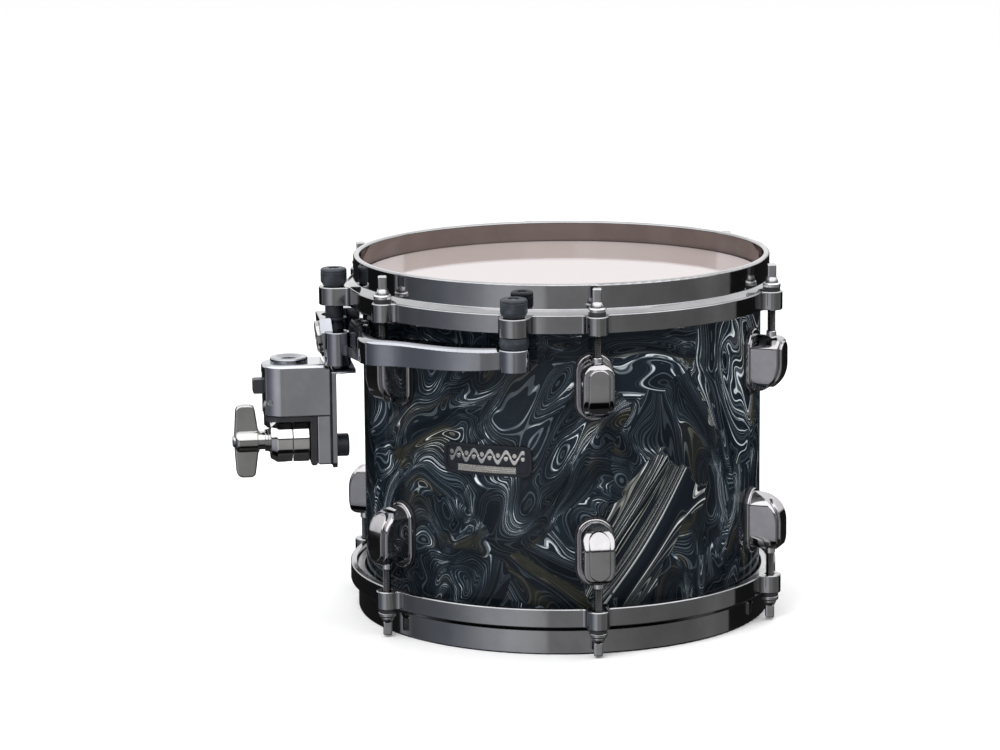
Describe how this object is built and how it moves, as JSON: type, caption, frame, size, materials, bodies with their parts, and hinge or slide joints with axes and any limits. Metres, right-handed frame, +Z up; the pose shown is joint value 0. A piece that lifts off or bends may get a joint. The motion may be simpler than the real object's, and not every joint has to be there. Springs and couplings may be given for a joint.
{
  "type": "tom tom drum",
  "caption": "Small rack tom: wrapped wooden shell, clear heads under die-cast hoops, lugs with key rods, and a rubber-isolated suspension mount with a rod clamp and wing nut.",
  "frame": {"origin": "centre of the lower rim's plane, on the drum's axis", "axes": "+Z up along the drum's axis towards the batter head; -X towards the rod clamp of the mount"},
  "size_m": [0.3504, 0.2998, 0.2302],
  "materials": {
    "shell_ply": "satin",
    "wrap_film": "gloss",
    "vent_brass": "polished",
    "badge_metal": "polished",
    "lug_plating": "polished black nickel",
    "gasket_rubber": "matt",
    "nut_steel": "plated",
    "screw_steel": "zinc plated",
    "hoop_plating": "polished black nickel",
    "head_film": "clear gloss",
    "flesh_ring_metal": "satin",
    "nylon_washer": "satin",
    "rod_steel": "plated",
    "mount_rubber": "satin",
    "mount_plating": "polished black nickel",
    "medallion_metal": "polished",
    "plate_steel": "plated",
    "bracket_plating": "satin nickel",
    "clamp_nylon": "matt",
    "clamp_chrome": "polished",
    "spring_steel": "drawn"
  },
  "bodies": {
    "shell": {"shell": "shell_ply", "shell_wrap": "wrap_film", "vent_grommet": "vent_brass", "badge_plate": "badge_metal", "upper_lugs": "lug_plating", "lower_lugs": "lug_plating", "upper_lug_gaskets": "gasket_rubber", "lower_lug_gaskets": "gasket_rubber", "upper_swivel_nuts": "nut_steel", "lower_swivel_nuts": "nut_steel", "lug_screws": "screw_steel", "lug_screw_washers": "screw_steel"},
    "resonant_hoop": {"resonant_hoop": "hoop_plating", "resonant_head_film": "head_film", "resonant_flesh_ring": "flesh_ring_metal", "resonant_nylon_washers": "nylon_washer", "resonant_rod_washers": "rod_steel"},
    "clamp_jaw": {"clamp_outer_jaw": "clamp_chrome", "wing_washer": "screw_steel"},
    "wing_nut": {"wing_nut": "clamp_chrome"},
    "release_lever": {"release_lever": "clamp_nylon"},
    "batter_rod_1": {"batter_tension_rod_1": "rod_steel"},
    "batter_rod_2": {"batter_tension_rod_2": "rod_steel"},
    "batter_rod_3": {"batter_tension_rod_3": "rod_steel"},
    "batter_rod_4": {"batter_tension_rod_4": "rod_steel"},
    "batter_rod_5": {"batter_tension_rod_5": "rod_steel"},
    "batter_rod_6": {"batter_tension_rod_6": "rod_steel"},
    "resonant_rod_1": {"resonant_tension_rod_1": "rod_steel"},
    "resonant_rod_2": {"resonant_tension_rod_2": "rod_steel"},
    "resonant_rod_3": {"resonant_tension_rod_3": "rod_steel"},
    "resonant_rod_4": {"resonant_tension_rod_4": "rod_steel"},
    "resonant_rod_5": {"resonant_tension_rod_5": "rod_steel"},
    "resonant_rod_6": {"resonant_tension_rod_6": "rod_steel"},
    "batter_hoop": {"batter_hoop": "hoop_plating", "batter_head_film": "head_film", "batter_flesh_ring": "flesh_ring_metal", "batter_nylon_washers": "nylon_washer", "batter_rod_washers": "rod_steel", "mount_caps": "mount_rubber", "mount_bolts": "screw_steel", "mount_side_spacers": "mount_rubber", "mount_centre_spacer": "mount_rubber", "mount_arm_front": "mount_plating", "mount_arm_rear": "mount_plating", "mount_arm_screws": "screw_steel", "mount_centre_casting": "mount_plating", "mount_medallion": "medallion_metal", "bracket_plate": "plate_steel", "post_bolt": "screw_steel", "bracket_body_screws": "screw_steel", "bracket_body": "bracket_plating", "body_gasket": "mount_rubber", "shell_bumper": "mount_rubber", "bumper_screw": "screw_steel", "rod_sleeve": "bracket_plating", "clamp_liner": "clamp_nylon", "clamp_inner_jaw": "clamp_chrome", "clamp_eye_bolt": "screw_steel", "lever_pin": "screw_steel", "lever_spring": "spring_steel"}
  },
  "joints": [
    {"name": "batter_hoop_lift", "type": "slide", "parent": "shell", "child": "batter_hoop", "axis": [0, 0, 1], "range_m": [0, 0.006]},
    {"name": "resonant_hoop_lift", "type": "slide", "parent": "shell", "child": "resonant_hoop", "axis": [0, 0, -1], "range_m": [0, 0.006]},
    {"name": "batter_rod_1_turn", "type": "hinge", "parent": "batter_hoop", "child": "batter_rod_1", "pos_m": [0.12202, 0.07045, 0.2173], "axis": [0, 0, 1], "range_deg": [0, 2040]},
    {"name": "batter_rod_2_turn", "type": "hinge", "parent": "batter_hoop", "child": "batter_rod_2", "pos_m": [0, 0.1409, 0.2173], "axis": [0, 0, 1], "range_deg": [0, 2040]},
    {"name": "batter_rod_3_turn", "type": "hinge", "parent": "batter_hoop", "child": "batter_rod_3", "pos_m": [-0.12202, 0.07045, 0.2173], "axis": [0, 0, 1], "range_deg": [0, 2040]},
    {"name": "batter_rod_4_turn", "type": "hinge", "parent": "batter_hoop", "child": "batter_rod_4", "pos_m": [-0.12202, -0.07045, 0.2173], "axis": [0, 0, 1], "range_deg": [0, 2040]},
    {"name": "batter_rod_5_turn", "type": "hinge", "parent": "batter_hoop", "child": "batter_rod_5", "pos_m": [0, -0.1409, 0.2173], "axis": [0, 0, 1], "range_deg": [0, 2040]},
    {"name": "batter_rod_6_turn", "type": "hinge", "parent": "batter_hoop", "child": "batter_rod_6", "pos_m": [0.12202, -0.07045, 0.2173], "axis": [0, 0, 1], "range_deg": [0, 2040]},
    {"name": "resonant_rod_1_turn", "type": "hinge", "parent": "resonant_hoop", "child": "resonant_rod_1", "pos_m": [0.12202, 0.07045, 0.0129], "axis": [0, 0, -1], "range_deg": [0, 2040]},
    {"name": "resonant_rod_2_turn", "type": "hinge", "parent": "resonant_hoop", "child": "resonant_rod_2", "pos_m": [0, 0.1409, 0.0129], "axis": [0, 0, -1], "range_deg": [0, 2040]},
    {"name": "resonant_rod_3_turn", "type": "hinge", "parent": "resonant_hoop", "child": "resonant_rod_3", "pos_m": [-0.12202, 0.07045, 0.0129], "axis": [0, 0, -1], "range_deg": [0, 2040]},
    {"name": "resonant_rod_4_turn", "type": "hinge", "parent": "resonant_hoop", "child": "resonant_rod_4", "pos_m": [-0.12202, -0.07045, 0.0129], "axis": [0, 0, -1], "range_deg": [0, 2040]},
    {"name": "resonant_rod_5_turn", "type": "hinge", "parent": "resonant_hoop", "child": "resonant_rod_5", "pos_m": [0, -0.1409, 0.0129], "axis": [0, 0, -1], "range_deg": [0, 2040]},
    {"name": "resonant_rod_6_turn", "type": "hinge", "parent": "resonant_hoop", "child": "resonant_rod_6", "pos_m": [0.12202, -0.07045, 0.0129], "axis": [0, 0, -1], "range_deg": [0, 2040]},
    {"name": "clamp_jaw_open", "type": "slide", "parent": "batter_hoop", "child": "clamp_jaw", "axis": [-1, 0, 0], "range_m": [0, 0.003]},
    {"name": "wing_nut_turn", "type": "hinge", "parent": "clamp_jaw", "child": "wing_nut", "pos_m": [-0.2, 0, 0.1135], "axis": [-1, 0, 0], "range_deg": [0, 864]},
    {"name": "lever_press", "type": "hinge", "parent": "batter_hoop", "child": "release_lever", "pos_m": [-0.1886, 0, 0.1401], "axis": [0, 1, 0], "range_deg": [0, 8], "stiffness_Nm_per_rad": 0.05}
  ],
  "couplings": [
    {"joint": "batter_rod_1_turn", "follows": "batter_hoop_lift", "rad_per_m": 5936.9},
    {"joint": "batter_rod_2_turn", "follows": "batter_hoop_lift", "rad_per_m": 5936.9},
    {"joint": "batter_rod_3_turn", "follows": "batter_hoop_lift", "rad_per_m": 5936.9},
    {"joint": "batter_rod_4_turn", "follows": "batter_hoop_lift", "rad_per_m": 5936.9},
    {"joint": "batter_rod_5_turn", "follows": "batter_hoop_lift", "rad_per_m": 5936.9},
    {"joint": "batter_rod_6_turn", "follows": "batter_hoop_lift", "rad_per_m": 5936.9},
    {"joint": "resonant_rod_1_turn", "follows": "resonant_hoop_lift", "rad_per_m": 5936.9},
    {"joint": "resonant_rod_2_turn", "follows": "resonant_hoop_lift", "rad_per_m": 5936.9},
    {"joint": "resonant_rod_3_turn", "follows": "resonant_hoop_lift", "rad_per_m": 5936.9},
    {"joint": "resonant_rod_4_turn", "follows": "resonant_hoop_lift", "rad_per_m": 5936.9},
    {"joint": "resonant_rod_5_turn", "follows": "resonant_hoop_lift", "rad_per_m": 5936.9},
    {"joint": "resonant_rod_6_turn", "follows": "resonant_hoop_lift", "rad_per_m": 5936.9},
    {"joint": "wing_nut_turn", "follows": "clamp_jaw_open", "rad_per_m": 5026.5}
  ]
}
